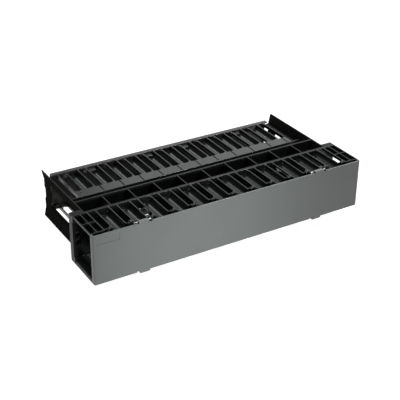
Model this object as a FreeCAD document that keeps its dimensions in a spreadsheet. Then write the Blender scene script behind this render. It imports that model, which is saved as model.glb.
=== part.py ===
import FreeCAD, Part
import math
import os
import Sketcher

# Two unit horizontal cable manager for a 19 inch rack, with a front and a rear duct.
#
# Frame: X runs along the rack width, Y from the front of the rack to the back, Z up.
# The origin is the middle of the rack mounting face, halfway between the ears.
#
# The combs and the crates are each one moulding used twice: the lower one is the upper
# one turned half a turn about Y. Their drawings are of the upper one.

doc = FreeCAD.newDocument("CableManager")
sheet = doc.addObject("Spreadsheet::Sheet", "Sizes")

SIZES = [
    ("panel_width", 482.6, "over the two ears, the rack's full width"),
    ("panel_height", 82.0, "of the ducts, without the hinges"),
    ("panel_wall", 3.0, "sheet of the mounting panel"),
    ("ear_depth", 11.0, "from the front of the panel to the mounting face"),
    ("ear_skin", 2.6, "walls left round the ear's cored pockets"),
    ("bolt_span", 465.1, "between the left and right rack holes"),
    ("bolt_rise", 12.7, "between the two holes of one ear"),
    ("bolt_hole", 7.0, "clearance hole for the rack screw"),
    ("bolt_head", 11.0, "counterbore for its head"),
    ("bolt_floor", 3.4, "plastic under the head"),
    ("window_width", 18.0, "each of the two cable windows"),
    ("window_middle", 122.4, "from the middle of the panel to the middle of a window"),
    ("window_height", 45.2, "of a window"),
    ("window_round", 4.0, "corner radius of a window"),
    ("rib_pitch", 44.1, "between the ribs behind the panel"),
    ("finger_pitch", 35.15, "between the front slots"),
    ("slot_width", 11.4, "clear width of a front slot"),
    ("finger_depth", 10.8, "height of a finger's trough"),
    ("finger_wall", 1.8, "thickness of the trough"),
    ("finger_length", 59.0, "front finger, from the panel"),
    ("collar", 1.8, "ring inside the root of a trough"),
    ("collar_gap", 3.6, "from the panel to that ring"),
    ("strip", 2.0, "root strip that joins the fingers"),
    ("block_length", 61.7, "ribbed end block, from the panel"),
    ("block_wall", 2.0, "round wall and front wall of the end block"),
    ("block_rib", 1.6, "its ribs"),
    ("hook_reach", 3.2, "hook at the slot's left side, across the mouth"),
    ("hook_wall", 1.6, "thickness of the hook"),
    ("tip_height", 7.0, "height of the hook and the wedge"),
    ("tip_reach", 5.3, "nose of the hook and the wedge, ahead of the trough"),
    ("tip_rise", 2.0, "of the two noses above the trough's edge"),
    ("wedge_reach", 5.0, "wedge at the slot's right side"),
    ("wedge_length", 6.5, "along the slot"),
    ("wedge_nose", 2.4, "width of its blunt front"),
    ("rod_radius", 1.5, "hinge rod"),
    ("rod_length", 33.2, "hinge rod"),
    ("rod_seat", 0.02, "radial room for a rod in its lugs"),
    ("lug_radius", 2.3, "lug round the rod's end"),
    ("lug_wall", 2.0, "lug along the rod"),
    ("cover_front", 81.0, "from the mounting face to the front of the cover"),
    ("cover_wall", 2.5, "plate of the front cover"),
    ("cover_return", 8.0, "depth of the cover's turned ends"),
    ("cover_round", 3.0, "corner of the cover"),
    ("hinge_setback", 2.5, "from the back of the plate to the hinge line"),
    ("knuckle_radius", 2.9, "hinge knuckle of the cover"),
    ("knuckle_width", 16.4, "knuckle and its tab, along the rod"),
    ("knuckle_play", 0.1, "radial room for the rod in the knuckle"),
    ("knuckle_flare", 0.5, "how much the open knuckle widens to its lips"),
    ("notch_width", 5.0, "relief beside a tab"),
    ("notch_depth", 1.6, "relief beside a tab"),
    ("field_width", 38.0, "sunk blank field on the cover"),
    ("field_height", 11.0, "sunk blank field"),
    ("field_depth", 0.5, "sunk blank field"),
    ("field_margin", 5.0, "from the cover's edges to the field"),
    ("frame_width", 444.6, "over the two side frames, to pass the rack posts"),
    ("frame_wall", 2.0, "sheet of a side frame"),
    ("rail_height", 17.7, "flared side rail"),
    ("rail_flare", 3.4, "how far the rail leans out to its edge"),
    ("rail_round", 4.0, "turned edge of the rail"),
    ("rail_lip", 7.0, "reach of that turned edge"),
    ("rail_end", 148.0, "from the mounting face to the rear end of a rail"),
    ("post_depth", 13.0, "rear post between the rails"),
    ("post_recess", 1.2, "how far the middle of that post is set in"),
    ("post_middle", 9.0, "half the height of the part that is set in"),
    ("flange_depth", 12.0, "front flange of a side frame, behind the panel"),
    ("crate_height", 20.0, "ribs behind the panel"),
    ("crate_rear", 26.5, "from the mounting face to the back of the crate"),
    ("crate_wall", 3.0, "rear wall of the crate"),
    ("rib_wall", 1.8, "ribs of the crate"),
    ("rear_level", 31.4, "height of the rear troughs' edge above the middle"),
    ("rear_pitch", 34.95, "between the rear slots"),
    ("rear_slot", 12.6, "clear width of a rear slot"),
    ("rear_start", 50.5, "front edge of the rear comb's plate"),
    ("rear_plate", 21.4, "depth of that plate"),
    ("rear_skin", 2.0, "thickness of the plate and of its skirt"),
    ("rear_skirt", 12.0, "height of the skirt"),
    ("rear_tip", 139.2, "rear ends of the rear fingers"),
    ("rear_corner", 7.0, "rounded inner corners of a rear trough"),
    ("slit", 1.8, "slit in the plate ahead of each slot"),
    ("side_wall", 6.0, "height of the wall beside the first and last slot"),
    ("knob_radius", 2.2, "round knob at a rear finger's tip"),
    ("knob_rise", 1.2, "of that knob above the trough's edge"),
    ("rear_cover_width", 416.6, "snap-on rear cover"),
    ("rear_cover_back", 149.3, "from the mounting face to the back of that cover"),
    ("rear_cover_wall", 2.2, "of the rear cover"),
    ("rear_cover_round", 2.6, "its long corners"),
    ("tongue_width", 11.0, "locating tongue of the rear cover"),
    ("tongue_length", 8.0, "reach of a tongue into a trough"),
    ("tongue_wall", 2.4, "thickness of a tongue"),
    ("fit_gap", 0.3, "room between pieces that come apart"),
]

FRONT_SLOTS = 13
REAR_SLOTS = 12
RIBS = 9
HINGE_FINGERS = 4.5      # pitches from the middle to each hinge
TONGUE_FINGERS = (-4, -1, 1, 4)


class Size:
    """A length that carries its value and the sheet formula it comes from."""

    def __init__(self, value, text):
        self.value = float(value)
        self.text = text

    def __add__(self, other):
        other = size(other)
        return Size(self.value + other.value, f"({self.text} + {other.text})")

    def __sub__(self, other):
        other = size(other)
        return Size(self.value - other.value, f"({self.text} - {other.text})")

    def __mul__(self, other):
        other = size(other)
        return Size(self.value * other.value, f"({self.text} * {other.text})")

    def __truediv__(self, other):
        other = size(other)
        return Size(self.value / other.value, f"({self.text} / {other.text})")

    def __neg__(self):
        return size(0) - self

    __radd__ = __add__
    __rmul__ = __mul__

    def __rsub__(self, other):
        return size(other) - self


def size(number):
    """Turn a plain number into a Size, and leave a Size as it is."""
    return number if isinstance(number, Size) else Size(number, repr(number))


class Sheet:
    """The driving sizes by name, read back from the spreadsheet."""


s = Sheet()
for row, (alias, value, meaning) in enumerate(SIZES, start=1):
    sheet.set(f"A{row}", str(value))
    sheet.setAlias(f"A{row}", alias)
    sheet.set(f"B{row}", meaning)
doc.recompute()
for alias, _, _ in SIZES:
    setattr(s, alias, Size(sheet.get(alias), f"Sizes.{alias}"))


def bind(item, prop, length):
    item.setExpression(prop, size(length).text)


def new_body(label):
    body = doc.addObject("PartDesign::Body", label)
    body.Label = label
    return body


def turned(label, upper):
    """The same moulding again, turned half a turn about Y to make the lower piece."""
    piece = doc.addObject("Part::Compound", label)
    piece.Links = [upper]
    piece.Placement = FreeCAD.Placement(FreeCAD.Vector(), FreeCAD.Rotation(FreeCAD.Vector(0, 1, 0), 180))
    return piece


def origin_item(body, role):
    return [item for item in body.Origin.OriginFeatures if item.Role == role][0]


def arc_through(start, end, radius, left):
    """Arc from start to end; it bulges to the left of that direction if left is set."""
    chord = end - start
    half = chord.Length / 2
    side = FreeCAD.Vector(-chord.y, chord.x, 0).normalize() * (1 if left else -1)
    middle = (start + end) * 0.5
    centre = middle - side * math.sqrt(max(radius**2 - half**2, 0))
    if half > 0.999 * radius:
        centre = middle
    circle = Part.Circle(centre, FreeCAD.Vector(0, 0, 1), radius)
    first, second = (end, start) if left else (start, end)
    return Part.ArcOfCircle(circle, circle.parameter(first), circle.parameter(second))


def draw_circle(sketch, middle, radius):
    centre = FreeCAD.Vector(size(middle[0]).value, size(middle[1]).value, 0)
    index = sketch.addGeometry(Part.Circle(centre, FreeCAD.Vector(0, 0, 1), radius.value), False)
    for kind, length in zip(("DistanceX", "DistanceY"), middle):
        length = size(length)
        number = sketch.addConstraint(Sketcher.Constraint(kind, -1, 1, index, 3, length.value))
        sketch.setExpression(f"Constraints[{number}]", length.text)
    number = sketch.addConstraint(Sketcher.Constraint("Radius", index, radius.value))
    sketch.setExpression(f"Constraints[{number}]", radius.text)


def draw(sketch, corners, bends=None):
    """Closed outline through the corners. bends gives {side number: (radius, left)}, and a
    nearly half round bend adds the place of its centre, such as "DistanceY", height."""
    bends = bends or {}
    count = len(corners)
    points = [FreeCAD.Vector(size(x).value, size(y).value, 0) for x, y in corners]
    base = sketch.GeometryCount
    ends = []
    for i in range(count):
        start, end = points[i], points[(i + 1) % count]
        if i in bends:
            radius, left = bends[i][:2]
            sketch.addGeometry(arc_through(start, end, size(radius).value, left), False)
            ends.append((2, 1) if left else (1, 2))
        else:
            sketch.addGeometry(Part.LineSegment(start, end), False)
            ends.append((1, 2))
    for i in range(count):
        before = (i - 1) % count
        joined = (base + before, ends[before][1], base + i, ends[i][0])
        sketch.addConstraint(Sketcher.Constraint("Coincident", *joined))
        for kind, length in zip(("DistanceX", "DistanceY"), corners[i]):
            length = size(length)
            index = sketch.addConstraint(Sketcher.Constraint(kind, -1, 1, base + i, ends[i][0], length.value))
            sketch.setExpression(f"Constraints[{index}]", length.text)
    for i, (radius, _, *held) in bends.items():
        if held:
            kind, length = held
            index = sketch.addConstraint(Sketcher.Constraint(kind, -1, 1, base + i, 3, length.value))
        else:
            length = size(radius)
            index = sketch.addConstraint(Sketcher.Constraint("Radius", base + i, length.value))
        sketch.setExpression(f"Constraints[{index}]", length.text)


def circle(middle, radius):
    """Full circle, given to draw as an outline."""
    return {"middle": middle, "radius": size(radius)}


def rectangle(x0, x1, y0, y1):
    return [(x0, y0), (x1, y0), (x1, y1), (x0, y1)]


def new_sketch(body, name, plane, lift):
    """Sketch on an origin plane, lifted along that plane's normal."""
    sketch = body.newObject("Sketcher::SketchObject", name)
    sketch.AttachmentSupport = [(origin_item(body, plane), "")]
    sketch.MapMode = "FlatFace"
    sketch.AttachmentOffset = FreeCAD.Placement(FreeCAD.Vector(0, 0, size(lift).value), FreeCAD.Rotation())
    bind(sketch, "AttachmentOffset.Base.z", lift)
    return sketch


def feature(body, kind, name, plane, lift, length, outlines, backward=False):
    """Pad or pocket of one or more closed outlines drawn on an origin plane."""
    sketch = new_sketch(body, name + "_outline", plane, lift)
    for outline in outlines:
        if isinstance(outline, dict):
            draw_circle(sketch, **outline)
        elif isinstance(outline, tuple):
            draw(sketch, *outline)
        else:
            draw(sketch, outline)
    item = body.newObject(f"PartDesign::{kind}", name)
    item.Profile = sketch
    item.Length = size(length).value
    bind(item, "Length", length)
    item.Reversed = backward
    sketch.Visibility = False
    doc.recompute()
    return item


def pad(body, name, plane, lift, length, outlines, backward=False):
    return feature(body, "Pad", name, plane, lift, length, outlines, backward)


def pocket(body, name, plane, lift, length, outlines, backward=False):
    return feature(body, "Pocket", name, plane, lift, length, outlines, backward)


def repeat(body, name, originals, pitch, count):
    """Row of copies along X."""
    pattern = body.newObject("PartDesign::LinearPattern", name)
    pattern.Originals = originals
    pattern.Direction = (origin_item(body, "X_Axis"), [""])
    pattern.Length = (size(pitch) * (count - 1)).value
    bind(pattern, "Length", size(pitch) * (count - 1))
    pattern.Occurrences = count
    body.Tip = pattern
    doc.recompute()
    return pattern


def segment_radius(width, depth):
    """Radius of a round bottom with this width and depth."""
    return (width * width / 4 + depth * depth) / (2 * depth)


def trough_end(x, width, top, depth):
    """Section of a wall that closes a trough."""
    radius = segment_radius(width, depth)
    corners = [(x - width / 2, top), (x + width / 2, top)]
    return corners, {1: (radius, True, "DistanceY", top - depth + radius)}


def trough(x, width, top, depth, wall):
    """Section of one finger: a round trough, open upward."""
    left = x - width / 2
    right = x + width / 2
    outer = segment_radius(width, depth)
    inner = segment_radius(width - 2 * wall, depth - wall)
    corners = [(left, top), (left + wall, top), (right - wall, top), (right, top)]
    floor = top - depth
    return corners, {1: (inner, False, "DistanceY", floor + wall + inner),
                     3: (outer, True, "DistanceY", floor + outer)}


def mouth_hook(face, tip, outward):
    """Plan of the hook on the left side of a slot. outward is the way out, -1 or 1 along Y."""
    return rectangle(face - s.finger_wall, face + s.hook_reach, tip - outward * s.hook_wall, tip)


def mouth_wedge(face, tip, outward, nose):
    """Plan of the wedge on the right side of a slot. Its blunt nose stands ahead of the tip."""
    return [(face - s.wedge_reach, tip + outward * nose / 3), (face - s.wedge_nose, tip + outward * nose),
            (face, tip + outward * nose), (face + s.finger_wall, tip),
            (face + s.finger_wall, tip - outward * s.wedge_length), (face, tip - outward * s.wedge_length),
            (face - s.wedge_reach, tip - outward * s.hook_wall)]


top = s.panel_height / 2
half_width = s.panel_width / 2
panel_face = -s.ear_depth
hinge_y = s.cover_wall + s.hinge_setback - s.cover_front
hinge_z = top
hinge_x = s.finger_pitch * HINGE_FINGERS
finger_width = s.finger_pitch - s.slot_width
half_slots = (FRONT_SLOTS - 1) / 2
block_face = s.finger_pitch * half_slots + s.slot_width / 2


def mirror_pair(near, far, z0, z1):
    """Two rectangles, one at each side of the middle plane."""
    return [rectangle(-far, -near, z0, z1), rectangle(near, far, z0, z1)]


def mounting_panel():
    """Moulded panel across the rack: two thick ears with their screw holes, a wall between
    them and two narrow windows that let cables run from the front duct to the rear one."""
    body = new_body("mounting_panel")
    front = -panel_face
    ear_inside = s.frame_width / 2
    pad(body, "wall", "XZ_Plane", front - s.panel_wall, s.panel_wall,
        [rectangle(-half_width, half_width, -top, top)])
    pad(body, "ears", "XZ_Plane", 0, s.ear_depth, mirror_pair(ear_inside, half_width, -top, top))

    half_w = s.window_width / 2
    half_h = s.window_height / 2
    bend = s.window_round
    x = -s.window_middle
    corners = [(x - half_w + bend, -half_h), (x + half_w - bend, -half_h), (x + half_w, bend - half_h),
               (x + half_w, half_h - bend), (x + half_w - bend, half_h), (x - half_w + bend, half_h),
               (x - half_w, half_h - bend), (x - half_w, bend - half_h)]
    bends = {side: (bend, False) for side in (1, 3, 5, 7)}
    window = pocket(body, "window", "XZ_Plane", front, s.panel_wall, [(corners, bends)])
    repeat(body, "window_row", [window], s.window_middle * 2, 2)

    skin = s.ear_skin
    core = top - skin
    boss = s.bolt_rise / 2 + s.bolt_head / 2 + skin
    cores = []
    for low, high in ((-core, -boss), (boss, core)):
        cores += mirror_pair(ear_inside + skin, half_width - skin, low, high)
    pocket(body, "ear_cores", "XZ_Plane", 0, s.ear_depth - skin, cores, backward=True)

    heads, holes = [], []
    for side in (-1, 1):
        for end in (-1, 1):
            middle = (side * s.bolt_span / 2, end * s.bolt_rise / 2)
            heads.append(circle(middle, s.bolt_head / 2))
            holes.append(circle(middle, s.bolt_hole / 2))
    pocket(body, "bolt_heads", "XZ_Plane", front, s.ear_depth - s.bolt_floor, heads)
    pocket(body, "bolt_holes", "XZ_Plane", front, s.ear_depth, holes)
    return body


def front_comb(label):
    """Front comb: twelve fingers and two ribbed, round end blocks on one root strip. Each finger is
    a round trough whose outside is the bend the cables are led over. Hooks and wedges
    narrow the slots' mouths, and two fingers carry the hinge lugs."""
    body = new_body(label)
    root = -panel_face
    pad(body, "root_strip", "XZ_Plane", root, s.strip,
        [rectangle(-half_width, half_width, top - s.finger_depth, top)])

    first = -s.finger_pitch * (half_slots - 0.5)
    finger = pad(body, "finger", "XZ_Plane", root, s.finger_length,
                 [trough(first, finger_width, top, s.finger_depth, s.finger_wall)])
    inside = finger_width - 2 * s.finger_wall
    ring = pad(body, "collar_ring", "XZ_Plane", root + s.collar_gap, s.collar,
               [trough(first, inside, top, s.finger_depth - s.finger_wall, s.collar)])
    repeat(body, "finger_row", [finger, ring], s.finger_pitch, FRONT_SLOTS - 1)

    for side, name in ((-1, "left"), (1, "right")):
        x = side * (half_width + block_face) / 2
        width = half_width - block_face
        pad(body, f"{name}_block", "XZ_Plane", root, s.block_length,
            [trough(x, width, top, s.finger_depth, s.block_wall)])
        cross_walls = ((s.block_length - s.block_wall, s.block_wall, "front_wall"),
                       ((s.block_length - s.block_rib) / 2, s.block_rib, "cross_rib"))
        for ahead, wall, part in cross_walls:
            pad(body, f"{name}_{part}", "XZ_Plane", root + ahead, wall,
                [trough_end(x, width, top, s.finger_depth)])
        low = top - s.finger_depth + s.block_wall / 2
        pad(body, f"{name}_long_rib", "XZ_Plane", root, s.block_length,
            [rectangle(x - s.block_rib / 2, x + s.block_rib / 2, low, top)])

    tip = panel_face - s.finger_length
    nose = tip - s.tip_reach
    left = -block_face
    right = s.slot_width - block_face
    keepers = pad(body, "keepers", "XY_Plane", top - s.tip_height, s.tip_height,
                  [mouth_hook(left, tip, -1), mouth_wedge(right, tip, -1, s.tip_reach)])
    hook_reach = left + s.hook_reach
    noses = pad(body, "noses", "XY_Plane", top - s.tip_height, s.tip_height + s.tip_rise,
                [rectangle(hook_reach - s.hook_wall, hook_reach, nose, tip),
                 rectangle(right - s.wedge_nose, right, nose, tip)])
    repeat(body, "slot_mouths", [keepers, noses], s.finger_pitch, FRONT_SLOTS)

    for side, name in ((-1, "left"), (1, "right")):
        for end, hand in ((-1, "a"), (1, "b")):
            x = side * hinge_x + end * (s.rod_length / 2 - s.lug_wall / 2)
            left, right = x - s.lug_wall / 2, x + s.lug_wall / 2
            arm = [(tip + s.wedge_length, top - s.tip_height), (tip + s.wedge_length, top),
                   (tip, top), (hinge_y, hinge_z + s.lug_radius), (hinge_y, hinge_z - s.lug_radius),
                   (tip, top - s.tip_height)]
            pad(body, f"{name}_lug_{hand}", "YZ_Plane", left, s.lug_wall,
                [(arm, {3: (s.lug_radius, False, "DistanceX", hinge_y)})])
            inner = side * hinge_x + end * (finger_width / 2 - s.finger_wall / 2)
            link = (inner, left) if end > 0 else (right, inner)
            pad(body, f"{name}_link_{hand}", "XY_Plane", top - s.tip_height, s.tip_height,
                [rectangle(link[0], link[1], tip + s.hook_wall, tip + s.wedge_length)])
        pocket(body, f"{name}_rod_eyes", "YZ_Plane", side * hinge_x - s.rod_length / 2, s.rod_length,
               [circle((hinge_y, hinge_z), s.rod_radius + s.rod_seat)], backward=True)
    return body


def sorted_pair(first, second):
    return sorted((first, second), key=lambda item: size(item).value)


def between_rails(level_top, level_low):
    """Outline of a wall that fills the room between the side frames and rests on their lips."""
    reach = s.frame_width / 2 - s.frame_wall
    foot = top - s.rail_height
    inner = s.rail_round - s.frame_wall
    lean = s.rail_flare * (top - level_top) / (s.rail_height - s.rail_round / 2)
    low = reach - s.rail_flare
    lip = s.frame_width / 2 - s.rail_flare - s.rail_lip
    half = [(reach - lean, level_top), (low, foot + s.rail_round / 2), (low - inner, foot),
            (lip, foot), (lip, level_low)]
    return half + [(-x, z) for x, z in reversed(half)]


def crate(label):
    """Crate behind the panel: nine ribs and a rear wall."""
    body = new_body(label)
    wall_y = s.crate_rear - s.crate_wall
    pad(body, "crate_back", "XZ_Plane", -s.crate_rear, s.crate_wall,
        [between_rails(top, top - s.crate_height)])
    rib_x = -s.rib_pitch * (RIBS - 1) / 2
    rib = pad(body, "rib", "XZ_Plane", -wall_y, wall_y - panel_face - s.panel_wall,
              [rectangle(rib_x - s.rib_wall / 2, rib_x + s.rib_wall / 2, top - s.crate_height, top)])
    repeat(body, "rib_row", [rib], s.rib_pitch, RIBS)
    return body


def side_frame(label, side):
    """Side frame behind an ear: two flared rails, a flange at the panel and a rear post.
    The rails' inner edges are turned in, as a bend for the cables that leave sideways."""
    body = new_body(label)
    reach = s.frame_width / 2
    foot = top - s.rail_height
    bend = s.rail_round
    thin = s.frame_wall
    lip = foot - bend / 2
    straight = foot + bend / 2
    panel_back = panel_face + s.panel_wall

    def outer(shift):
        return side * (reach - shift)

    for end, name in ((-1, "lower"), (1, "upper")):
        corners = [(outer(0), end * top), (outer(s.rail_flare), end * straight),
                   (outer(s.rail_flare + bend), end * lip), (outer(s.rail_flare + s.rail_lip), end * lip),
                   (outer(s.rail_flare + s.rail_lip), end * (lip + thin)),
                   (outer(s.rail_flare + bend), end * (lip + thin)),
                   (outer(s.rail_flare + thin), end * straight), (outer(thin), end * top)]
        bends = {1: (bend, side * end > 0), 5: (bend - thin, side * end < 0)}
        pad(body, f"{name}_rail", "XZ_Plane", -s.rail_end, s.rail_end - panel_back, [(corners, bends)])

    mid = s.post_middle
    deep = s.rail_flare + s.post_recess
    half = s.rail_flare
    edge = [(outer(half), -straight), (outer(half), -mid - thin), (outer(deep), thin - mid),
            (outer(deep), mid - thin), (outer(half), mid + thin), (outer(half), straight)]
    back = [(x - side * thin, z) for x, z in reversed(edge)]
    pad(body, "rear_post", "XZ_Plane", -s.rail_end, s.post_depth, [edge + back])
    pad(body, "flange", "XZ_Plane", -panel_back - s.flange_depth, s.flange_depth,
        [rectangle(*sorted_pair(outer(half), outer(half + thin)), -straight, straight)])
    return body


def rear_comb(label):
    """Rear comb: eleven troughs with rounded front ends behind a flat plate. A slit runs from
    each slot to the plate's front skirt, whose ends rest on the lips of the side rails."""
    body = new_body(label)
    level = s.rear_level
    width = s.rear_pitch - s.rear_slot
    half_rear = (REAR_SLOTS - 1) / 2
    wall_x = s.rear_pitch * half_rear + s.rear_slot / 2
    trough_start = s.rear_start + s.rear_plate

    pad(body, "skirt", "XZ_Plane", -s.rear_start - s.rear_skin, s.rear_skin,
        [between_rails(level, level - s.rear_skirt)])
    edge = wall_x + s.finger_wall
    pad(body, "plate", "XY_Plane", level - s.rear_skin, s.rear_skin,
        [rectangle(-edge, edge, s.rear_start, trough_start)])
    pad(body, "side_walls", "XY_Plane", level - s.side_wall, s.side_wall,
        mirror_pair(wall_x, edge, s.rear_start, s.rear_tip))

    first = -s.rear_pitch * (half_rear - 0.5)
    section = trough(first, width, level, s.finger_depth, s.finger_wall)
    finger = pad(body, "rear_finger", "XZ_Plane", -s.rear_tip, s.rear_tip - trough_start, [section])
    end = pad(body, "rear_finger_end", "XZ_Plane", -trough_start, s.finger_wall,
              [trough_end(first, width, level, s.finger_depth)])
    shapes = [finger, end]
    inner = width / 2 - s.finger_wall
    for side, name in ((-1, "left"), (1, "right")):
        x = first + side * inner
        bend = s.rear_corner
        corners = [(x, trough_start), (x, trough_start + bend), (x - side * bend, trough_start)]
        shapes.append(pad(body, f"corner_{name}", "XY_Plane", level - s.side_wall, s.side_wall,
                          [(corners, {1: (bend, side > 0)})]))
    repeat(body, "rear_finger_row", shapes, s.rear_pitch, REAR_SLOTS - 1)

    slot_x = -s.rear_pitch * half_rear
    slit = pocket(body, "slit_cut", "XY_Plane", level, s.rear_skin,
                  [rectangle(slot_x - s.slit / 2, slot_x + s.slit / 2,
                             s.rear_start + s.rear_skin, trough_start)])
    repeat(body, "slit_row", [slit], s.rear_pitch, REAR_SLOTS)

    right = s.rear_slot - wall_x
    hook = mouth_hook(-wall_x, s.rear_tip, 1)
    wedge = mouth_wedge(right, s.rear_tip - s.knob_radius, 1, s.knob_radius)
    keepers = pad(body, "rear_keepers", "XY_Plane", level - s.side_wall, s.side_wall, [hook, wedge])
    knobs = pad(body, "knobs", "XY_Plane", level - s.side_wall, s.side_wall + s.knob_rise,
                [circle((right - s.knob_radius / 2, s.rear_tip - s.knob_radius), s.knob_radius)])
    repeat(body, "rear_mouths", [keepers, knobs], s.rear_pitch, REAR_SLOTS)
    return body


def front_cover():
    """Moulded front cover with turned ends. Tabs above and below carry open knuckles that
    snap on the four hinge rods, so it swings down or up, or lifts away."""
    body = new_body("front_cover")
    front = -s.cover_front
    back = front + s.cover_wall
    bend = s.cover_round
    rear = front + s.cover_return
    thin = s.cover_wall
    corners = [(-half_width, rear), (-half_width, front + bend), (-half_width + bend, front),
               (half_width - bend, front), (half_width, front + bend), (half_width, rear),
               (half_width - thin, rear), (half_width - thin, back), (thin - half_width, back),
               (thin - half_width, rear)]
    pad(body, "cover_plate", "XY_Plane", -top, s.panel_height,
        [(corners, {1: (bend, False), 3: (bend, False)})])

    reach = s.knuckle_radius
    jaw = s.rod_radius + s.knuckle_play
    for side, name in ((-1, "left"), (1, "right")):
        left = side * hinge_x - s.knuckle_width / 2
        for end, level in ((-1, "low"), (1, "high")):
            z = end * hinge_z
            tab = [(front, z - end * reach), (front, z + end * reach), (hinge_y, z + end * reach),
                   (hinge_y, z - end * reach)]
            pad(body, f"{name}_{level}_knuckle", "YZ_Plane", left, s.knuckle_width,
                [(tab, {2: (reach, end > 0, "DistanceX", hinge_y)})])
            lips = jaw + s.knuckle_flare
            mouth = [(hinge_y, z - jaw), (hinge_y + 2 * reach, z - lips), (hinge_y + 2 * reach, z + lips),
                     (hinge_y, z + jaw)]
            pocket(body, f"{name}_{level}_jaw", "YZ_Plane", left, s.knuckle_width,
                   [(mouth, {3: (jaw, False, "DistanceX", hinge_y)})], backward=True)
            beside = side * hinge_x + end * (s.knuckle_width / 2 + s.notch_width / 2)
            notch = rectangle(beside - s.notch_width / 2, beside + s.notch_width / 2,
                              z - s.notch_depth, z + s.notch_depth)
            pocket(body, f"{name}_{level}_notch", "XZ_Plane", s.cover_front, s.cover_wall, [notch])

    low = top - s.field_margin - s.field_height
    field = rectangle(s.field_margin - half_width, s.field_margin + s.field_width - half_width,
                      low, low + s.field_height)
    pocket(body, "blank_field", "XZ_Plane", s.cover_front, s.field_depth, [field])
    return body


def rear_cover():
    """Snap-on rear cover: a channel with rounded long corners. Its tongues enter the open
    ends of eight rear troughs, and it pulls straight off."""
    body = new_body("rear_cover")
    back = s.rear_cover_back
    thin = s.rear_cover_wall
    bend = s.rear_cover_round
    near = s.rear_tip + s.fit_gap
    high = s.rear_level
    corners = [(near, -high), (back - bend, -high), (back, bend - high), (back, high - bend),
               (back - bend, high), (near, high), (near, high - thin), (back - thin, high - thin),
               (back - thin, thin - high), (near, thin - high)]
    pad(body, "channel", "YZ_Plane", -s.rear_cover_width / 2, s.rear_cover_width,
        [(corners, {1: (bend, False), 3: (bend, False)})])
    for end, level in ((-1, "low"), (1, "high")):
        z = end * (high - s.finger_depth / 2)
        outlines = []
        for k in TONGUE_FINGERS:
            x = s.rear_pitch * k
            outlines.append(rectangle(x - s.tongue_width / 2, x + s.tongue_width / 2,
                                      s.rear_tip - s.tongue_length, back - thin))
        pad(body, f"{level}_tongues", "XY_Plane", z - s.tongue_wall / 2, s.tongue_wall, outlines)
    return body


def hinge_rod(label, side, end):
    """Steel hinge rod pressed through the two lugs of a finger."""
    rod = doc.addObject("Part::Cylinder", label)
    rod.Placement = FreeCAD.Placement(FreeCAD.Vector(), FreeCAD.Rotation(FreeCAD.Vector(0, 1, 0), 90))
    bind(rod, "Radius", s.rod_radius)
    bind(rod, "Height", s.rod_length)
    bind(rod, "Placement.Base.x", side * hinge_x - s.rod_length / 2)
    bind(rod, "Placement.Base.y", hinge_y)
    bind(rod, "Placement.Base.z", end * hinge_z)
    return rod


front_comb_upper = front_comb("front_comb_upper")
crate_upper = crate("crate_upper")
rear_comb_upper = rear_comb("rear_comb_upper")
pieces = [
    mounting_panel(),
    front_comb_upper,
    turned("front_comb_lower", front_comb_upper),
    crate_upper,
    turned("crate_lower", crate_upper),
    side_frame("side_frame_left", -1),
    side_frame("side_frame_right", 1),
    rear_comb_upper,
    turned("rear_comb_lower", rear_comb_upper),
    front_cover(),
    rear_cover(),
    hinge_rod("hinge_rod_upper_left", -1, 1),
    hinge_rod("hinge_rod_upper_right", 1, 1),
    hinge_rod("hinge_rod_lower_left", -1, -1),
    hinge_rod("hinge_rod_lower_right", 1, -1),
]
doc.recompute()

for item in doc.Objects:
    if "Invalid" in item.State or "Error" in item.State:
        raise RuntimeError(f"{item.Name} failed: {item.State}")
for piece in pieces:
    shape = piece.Shape
    if shape.isNull() or not shape.isValid() or len(shape.Solids) != 1:
        raise RuntimeError(f"{piece.Label} has no single valid solid")

os.makedirs("parts", exist_ok=True)
for piece in pieces:
    piece.Shape.exportStep(f"parts/{piece.Label}.step")
    box_size = piece.Shape.BoundBox
    print(f"{piece.Label}: {piece.Shape.Volume / 1000:.1f} cm3, "
          f"{box_size.XLength:.1f} x {box_size.YLength:.1f} x {box_size.ZLength:.1f} mm")
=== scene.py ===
import math

import bmesh
import bpy
from mathutils import Euler, Matrix, Vector


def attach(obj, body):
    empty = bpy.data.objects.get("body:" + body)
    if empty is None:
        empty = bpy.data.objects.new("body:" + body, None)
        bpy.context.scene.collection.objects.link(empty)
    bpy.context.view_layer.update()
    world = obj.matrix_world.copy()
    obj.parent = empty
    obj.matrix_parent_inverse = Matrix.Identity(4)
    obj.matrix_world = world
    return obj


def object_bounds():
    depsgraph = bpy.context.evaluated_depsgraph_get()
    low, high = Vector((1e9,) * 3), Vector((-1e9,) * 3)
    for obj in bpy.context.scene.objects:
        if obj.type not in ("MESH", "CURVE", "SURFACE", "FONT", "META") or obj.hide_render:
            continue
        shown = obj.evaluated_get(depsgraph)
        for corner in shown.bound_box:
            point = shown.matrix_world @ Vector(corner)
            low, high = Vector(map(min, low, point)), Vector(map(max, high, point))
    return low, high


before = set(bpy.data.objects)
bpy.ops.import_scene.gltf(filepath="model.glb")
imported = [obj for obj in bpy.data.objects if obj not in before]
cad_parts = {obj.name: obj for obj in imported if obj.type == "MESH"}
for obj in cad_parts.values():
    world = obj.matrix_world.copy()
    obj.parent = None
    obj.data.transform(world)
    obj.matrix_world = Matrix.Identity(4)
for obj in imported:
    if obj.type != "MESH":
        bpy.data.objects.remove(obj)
cad_box = [list(corner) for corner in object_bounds()]

# Mounting panel with its two ears: one black ABS moulding with a spark-eroded satin skin,
# screwed to the rack through four holes. The other mouldings are of the same resin.

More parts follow.
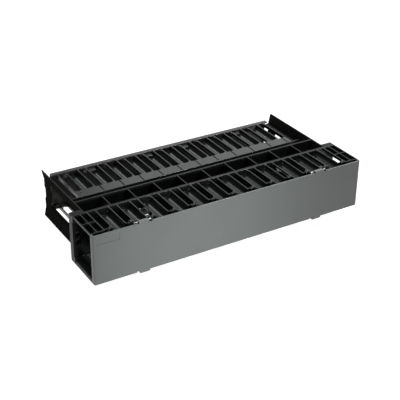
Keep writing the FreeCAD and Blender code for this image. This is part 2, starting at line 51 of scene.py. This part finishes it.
PANEL_GREY = (0.014, 0.015, 0.015)
RESIN_IOR = 1.53
GRAIN = 0.0006            # width of the spark-eroded grain
GRAIN_STRENGTH = 0.25
FLOW_MARK = 0.045         # length of the slow marks where the melt flowed
FLOW_LOW = 0.3            # the noise between these two carries the marks' shade
FLOW_HIGH = 0.7
GLOSS_FALL = 0.05         # how far the marks take the roughness down and up
GLOSS_RISE = 0.07
EDGE_RADIUS = 0.0006
EDGE_SAMPLES = 4


def moulded_abs(name, grey, roughness, shine, grain_depth, flow_contrast, edge=EDGE_RADIUS):
    """Black ABS: fine grain, slow flow marks in gloss and shade, softly broken edges. shine is
    the strength of its clear reflection, less where the mould was blasted matt."""
    material = bpy.data.materials.new(name)
    material.use_nodes = True
    tree = material.node_tree
    shader = tree.nodes["Principled BSDF"]
    shader.inputs["IOR"].default_value = RESIN_IOR
    shader.inputs["Specular IOR Level"].default_value = shine
    place = tree.nodes.new("ShaderNodeTexCoord")

    flow = tree.nodes.new("ShaderNodeTexNoise")
    flow.inputs["Scale"].default_value = 1 / FLOW_MARK
    flow.inputs["Detail"].default_value = 3.0
    tree.links.new(place.outputs["Object"], flow.inputs["Vector"])

    shade = tree.nodes.new("ShaderNodeValToRGB")
    shade.color_ramp.elements[0].position = FLOW_LOW
    shade.color_ramp.elements[1].position = FLOW_HIGH
    for stop, gain in zip(shade.color_ramp.elements, (1 - flow_contrast, 1 + flow_contrast)):
        stop.color = (*(channel * gain for channel in grey), 1.0)
    tree.links.new(flow.outputs["Fac"], shade.inputs["Fac"])
    tree.links.new(shade.outputs["Color"], shader.inputs["Base Color"])

    gloss = tree.nodes.new("ShaderNodeMapRange")
    gloss.inputs["To Min"].default_value = roughness - GLOSS_FALL
    gloss.inputs["To Max"].default_value = roughness + GLOSS_RISE
    tree.links.new(flow.outputs["Fac"], gloss.inputs["Value"])
    tree.links.new(gloss.outputs["Result"], shader.inputs["Roughness"])

    grain = tree.nodes.new("ShaderNodeTexNoise")
    grain.inputs["Scale"].default_value = 1 / GRAIN
    grain.inputs["Detail"].default_value = 2.0
    tree.links.new(place.outputs["Object"], grain.inputs["Vector"])
    broken_edge = tree.nodes.new("ShaderNodeBevel")
    broken_edge.samples = EDGE_SAMPLES
    broken_edge.inputs["Radius"].default_value = edge
    bump = tree.nodes.new("ShaderNodeBump")
    bump.inputs["Strength"].default_value = GRAIN_STRENGTH
    bump.inputs["Distance"].default_value = grain_depth
    tree.links.new(grain.outputs["Fac"], bump.inputs["Height"])
    tree.links.new(broken_edge.outputs["Normal"], bump.inputs["Normal"])
    tree.links.new(bump.outputs["Normal"], shader.inputs["Normal"])
    return material


def finish(node, material):
    """Put a material on a CAD node."""
    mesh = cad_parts[node].data
    mesh.materials.clear()
    mesh.materials.append(material)


panel_abs = moulded_abs("panel_abs", PANEL_GREY, roughness=0.28, shine=0.08,
                        grain_depth=0.00006, flow_contrast=0.08)
finish("mounting_panel", panel_abs)

# Crates behind the panel: two identical ribbed ABS mouldings that stiffen it. Their ribs are
# pressed flat against the panel's back, and the lower one is the upper one turned over.

# The crates' grey is set darker than the panel's resin: painted shade that keeps their deep bays
# dark.
CRATE_GREY_PAINTED_SHADE = (0.009, 0.010, 0.010)
crate_abs_painted_shade = moulded_abs("crate_abs_painted_shade", CRATE_GREY_PAINTED_SHADE, roughness=0.30, shine=0.16,
                        grain_depth=0.00006, flow_contrast=0.08)
for level in ("upper", "lower"):
    finish(f"crate_{level}", crate_abs_painted_shade)

# Front combs: twelve round troughs on a root strip, moulded in one piece with the two end
# blocks from glossy ABS, so that cables slide. The lower one is the upper one turned over.

COMB_GREY = (0.012, 0.013, 0.013)
COMB_EDGE = 0.0009
comb_abs = moulded_abs("comb_abs", COMB_GREY, roughness=0.21, shine=0.25,
                       grain_depth=0.00005, flow_contrast=0.10, edge=COMB_EDGE)
for level in ("upper", "lower"):
    finish(f"front_comb_{level}", comb_abs)

# Rear combs: eleven shorter troughs behind a flat plate with a skirt, from a second mould
# of the same glossy ABS. The ends of the skirt rest on the lips of the side rails.

REAR_GREY = (0.014, 0.015, 0.015)
rear_abs = moulded_abs("rear_abs", REAR_GREY, roughness=0.25, shine=0.39,
                       grain_depth=0.00005, flow_contrast=0.08)
for level in ("upper", "lower"):
    finish(f"rear_comb_{level}", rear_abs)

# Side frames: two handed ABS mouldings with flared rails and a rear post. The mould was
# blasted, so they are matt. Each is held by its front flange behind the ear.

RAIL_GREY = (0.043, 0.043, 0.040)
rail_abs = moulded_abs("rail_abs", RAIL_GREY, roughness=0.60, shine=0.0,
                       grain_depth=0.00005, flow_contrast=0.10)
for side in ("left", "right"):
    finish(f"side_frame_{side}", rail_abs)

# Post webs: each frame's rear post runs on forward as a thin web with the post's own section,
# moulded with it, which closes the view past the end of the rear cover.

WEB_FRONT = 0.126
WEB_REAR = 0.135
POST_FACE = 0.2189        # from the middle of the manager to the outside of the post
POST_WALL = 0.002
POST_DENT = 0.0012        # how far the middle of the post is set in
DENT_HALF = 0.009
POST_HALF = 0.0253


def post_web(side, sign):
    """Web ahead of one rear post: its dented section, drawn out along Y."""
    edge = [(POST_FACE, -POST_HALF), (POST_FACE, -DENT_HALF - POST_WALL),
            (POST_FACE - POST_DENT, POST_WALL - DENT_HALF)]
    edge += [(x, -z) for x, z in reversed(edge)]
    ring = edge + [(x - POST_WALL, z) for x, z in reversed(edge)]
    count = len(ring)
    points = [(sign * x, y, z) for y in (WEB_FRONT, WEB_REAR) for x, z in ring]
    sides = [(i, (i + 1) % count, count + (i + 1) % count, count + i) for i in range(count)]
    caps = []
    for i in range(len(edge) - 1):
        cap = (i, i + 1, count - 2 - i, count - 1 - i)
        caps += [cap, tuple(count + corner for corner in reversed(cap))]
    mesh = bpy.data.meshes.new(f"post_web_{side}")
    mesh.from_pydata(points, [], sides + caps)
    shell = bmesh.new()
    shell.from_mesh(mesh)
    bmesh.ops.recalc_face_normals(shell, faces=shell.faces)
    shell.to_mesh(mesh)
    shell.free()
    mesh.materials.append(rail_abs)
    web = bpy.data.objects.new(f"post_web_{side}", mesh)
    bpy.context.scene.collection.objects.link(web)
    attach(web, "manager")


post_web("left", -1)
post_web("right", 1)

# Covers: long flat ABS mouldings with a finer, more even grain than the frame behind them.
# The front one snaps on the hinge rods, and the rear one pushes into the troughs' open ends.

# The front cover's grey is far lighter and bluer than the black resin of the other mouldings:
# painted light that stands for its brightly lit face.
COVER_GREY_PAINTED_LIGHT = (0.145, 0.160, 0.157)
REAR_COVER_GREY = (0.040, 0.042, 0.040)
COVER_EDGE = 0.0020
cover_abs_painted_light = moulded_abs("cover_abs_painted_light", COVER_GREY_PAINTED_LIGHT, roughness=0.36, shine=0.5,
                        grain_depth=0.00003, flow_contrast=0.03, edge=COVER_EDGE)
finish("front_cover", cover_abs_painted_light)
rear_cover_abs = moulded_abs("rear_cover_abs", REAR_COVER_GREY, roughness=0.36, shine=0.42,
                             grain_depth=0.00003, flow_contrast=0.03, edge=COVER_EDGE)
finish("rear_cover", rear_cover_abs)

# Hinge rods: four lengths cut from drawn steel wire, which keeps the fine marks of the die.
# Each is pressed through the two lugs of one finger, above and below, left and right.

ROD_GREY = (0.34, 0.34, 0.35)
ROD_SMOOTH = 0.22
ROD_ROUGH = 0.40
MARK_LENGTH = 0.025       # drawing marks along the rod
MARK_WIDTH = 0.0004


def drawn_steel(name, grey):
    """Drawn wire: bright metal with fine marks along its length."""
    material = bpy.data.materials.new(name)
    material.use_nodes = True
    tree = material.node_tree
    shader = tree.nodes["Principled BSDF"]
    shader.inputs["Base Color"].default_value = (*grey, 1.0)
    shader.inputs["Metallic"].default_value = 1.0
    place = tree.nodes.new("ShaderNodeTexCoord")
    stretch = tree.nodes.new("ShaderNodeMapping")
    stretch.inputs["Scale"].default_value = (1 / MARK_LENGTH, 1 / MARK_WIDTH, 1 / MARK_WIDTH)
    marks = tree.nodes.new("ShaderNodeTexNoise")
    marks.inputs["Scale"].default_value = 1.0
    gloss = tree.nodes.new("ShaderNodeMapRange")
    gloss.inputs["To Min"].default_value = ROD_SMOOTH
    gloss.inputs["To Max"].default_value = ROD_ROUGH
    tree.links.new(place.outputs["Object"], stretch.inputs["Vector"])
    tree.links.new(stretch.outputs["Vector"], marks.inputs["Vector"])
    tree.links.new(marks.outputs["Fac"], gloss.inputs["Value"])
    tree.links.new(gloss.outputs["Result"], shader.inputs["Roughness"])
    return material


rod_steel = drawn_steel("rod_steel", ROD_GREY)
for level in ("upper", "lower"):
    for side in ("left", "right"):
        finish(f"hinge_rod_{level}_{side}", rod_steel)

# Floor: a white paper sheet, as low as the opened cover reaches. The camera and reflections
# see it white, with the manager's shadow.

FLOOR_SIZE = 12.0
FLOOR_DROP = 0.032        # the opened cover reaches 0.031 below the frame
FLOOR_GLOW = 0.97
FLOOR_PAPER = 0.30
FLOOR_BOUNCE = 0.45       # how pale the sheet is for the light that it throws back


def white_sheet(name):
    """White paper that shows soft shadows and reads as white to the camera and in gloss."""
    material = bpy.data.materials.new(name)
    material.use_nodes = True
    tree = material.node_tree
    tree.nodes.clear()
    out = tree.nodes.new("ShaderNodeOutputMaterial")
    ray = tree.nodes.new("ShaderNodeLightPath")
    glossy = tree.nodes.new("ShaderNodeMath")
    glossy.operation = "MAXIMUM"
    clear = tree.nodes.new("ShaderNodeMath")
    clear.operation = "MAXIMUM"
    paper = tree.nodes.new("ShaderNodeBsdfDiffuse")
    paper.inputs["Color"].default_value = (FLOOR_PAPER, FLOOR_PAPER, FLOOR_PAPER, 1.0)
    glow = tree.nodes.new("ShaderNodeEmission")
    glow.inputs["Strength"].default_value = FLOOR_GLOW
    both = tree.nodes.new("ShaderNodeAddShader")
    plain = tree.nodes.new("ShaderNodeBsdfDiffuse")
    plain.inputs["Color"].default_value = (FLOOR_BOUNCE, FLOOR_BOUNCE, FLOOR_BOUNCE, 1.0)
    mix = tree.nodes.new("ShaderNodeMixShader")
    tree.links.new(ray.outputs["Is Camera Ray"], glossy.inputs[0])
    tree.links.new(ray.outputs["Is Glossy Ray"], glossy.inputs[1])
    tree.links.new(glossy.outputs["Value"], clear.inputs[0])
    tree.links.new(ray.outputs["Is Transmission Ray"], clear.inputs[1])
    tree.links.new(paper.outputs["BSDF"], both.inputs[0])
    tree.links.new(glow.outputs["Emission"], both.inputs[1])
    tree.links.new(clear.outputs["Value"], mix.inputs["Fac"])
    tree.links.new(plain.outputs["BSDF"], mix.inputs[1])
    tree.links.new(both.outputs["Shader"], mix.inputs[2])
    tree.links.new(mix.outputs["Shader"], out.inputs["Surface"])
    return material


floor_mesh = bpy.data.meshes.new("floor")
reach = FLOOR_SIZE / 2
low = cad_box[0][2] - FLOOR_DROP
corners = [(-reach, -reach, low), (reach, -reach, low), (reach, reach, low), (-reach, reach, low)]
floor_mesh.from_pydata(corners, [], [(0, 1, 2, 3)])
floor_mesh.materials.append(white_sheet("white_sheet"))
floor = bpy.data.objects.new("floor", floor_mesh)
bpy.context.scene.collection.objects.link(floor)

# Studio: a dim white tent that the camera sees as white. A large soft box behind gives the
# plates their sheen, a small one behind draws the light in the troughs, one overhead draws
# the edges, and a soft beam from the front lights the cover.

TENT_LIGHT = 0.08
WHITE = (1.0, 1.0, 1.0, 1.0)
world = bpy.data.worlds.new("tent")
bpy.context.scene.world = world
world.use_nodes = True
tent = world.node_tree
tent.nodes.clear()
tent_out = tent.nodes.new("ShaderNodeOutputWorld")
tent_ray = tent.nodes.new("ShaderNodeLightPath")
tent_low = tent.nodes.new("ShaderNodeBackground")
tent_low.inputs["Strength"].default_value = TENT_LIGHT
tent_low.inputs["Color"].default_value = WHITE
tent_white = tent.nodes.new("ShaderNodeBackground")
tent_white.inputs["Strength"].default_value = 1.0
tent_white.inputs["Color"].default_value = WHITE
tent_mix = tent.nodes.new("ShaderNodeMixShader")
tent.links.new(tent_ray.outputs["Is Camera Ray"], tent_mix.inputs["Fac"])
tent.links.new(tent_low.outputs["Background"], tent_mix.inputs[1])
tent.links.new(tent_white.outputs["Background"], tent_mix.inputs[2])
tent.links.new(tent_mix.outputs["Shader"], tent_out.inputs["Surface"])


def hang(name, light, place, aim):
    """Put a lamp at a place and turn it to a point."""
    lamp = bpy.data.objects.new(name, light)
    lamp.location = place
    lamp.rotation_euler = (Vector(aim) - Vector(place)).to_track_quat("-Z", "Y").to_euler()
    bpy.context.scene.collection.objects.link(lamp)


def soft_box(name, place, aim, size, watts, tint):
    """Square soft box that looks at a point."""
    light = bpy.data.lights.new(name, "AREA")
    light.shape = "SQUARE"
    light.size = size
    light.energy = watts
    light.color = tint
    hang(name, light, place, aim)


def beam(name, place, aim, spread, radius, watts):
    """Spot lamp whose light fades smoothly from the middle of its cone to the rim."""
    light = bpy.data.lights.new(name, "SPOT")
    light.spot_size = spread
    light.spot_blend = 1.0
    light.shadow_soft_size = radius
    light.energy = watts
    hang(name, light, place, aim)


soft_box("rear_box", place=(1.15, 1.62, 1.05), aim=(0, 0, 0), size=1.20, watts=6.2,
         tint=(0.96, 1.0, 0.985))
soft_box("edge_box", place=(0.69, -0.16, 1.33), aim=(0, -0.08, 0), size=0.22, watts=24,
         tint=(1.0, 1.0, 0.97))
soft_box("trough_box", place=(0.05, 1.60, 1.30), aim=(0, 0, 0), size=0.40, watts=3,
         tint=(0.86, 0.96, 1.0))
beam("front_beam", place=(-0.35, -1.65, 0.20), aim=(-0.085, -0.08, 0),
     spread=math.radians(18.6), radius=0.12, watts=84)

# Camera: the photograph's view, from the front left and above. Its place and lens were worked
# out from the manager's straight edges in the photograph and its known width.

VIEW_AZIMUTH = math.radians(31.18)
VIEW_ELEVATION = math.radians(28.90)
VIEW_ROLL = math.radians(0.52)
VIEW_PLACE = (-0.7183, -1.1617, 0.7495)
VIEW_LENS = 87.38
FILM_WIDTH = 36.0

lens = bpy.data.cameras.new("camera")
lens.sensor_width = FILM_WIDTH
lens.lens = VIEW_LENS
camera = bpy.data.objects.new("camera", lens)
gaze = Euler((math.pi / 2 - VIEW_ELEVATION, 0, -VIEW_AZIMUTH)).to_matrix()
turn = gaze @ Matrix.Rotation(VIEW_ROLL, 3, "Z")
camera.matrix_world = Matrix.Translation(VIEW_PLACE) @ turn.to_4x4()
bpy.context.scene.collection.objects.link(camera)
bpy.context.scene.camera = camera
bpy.context.scene.view_settings.view_transform = "Standard"
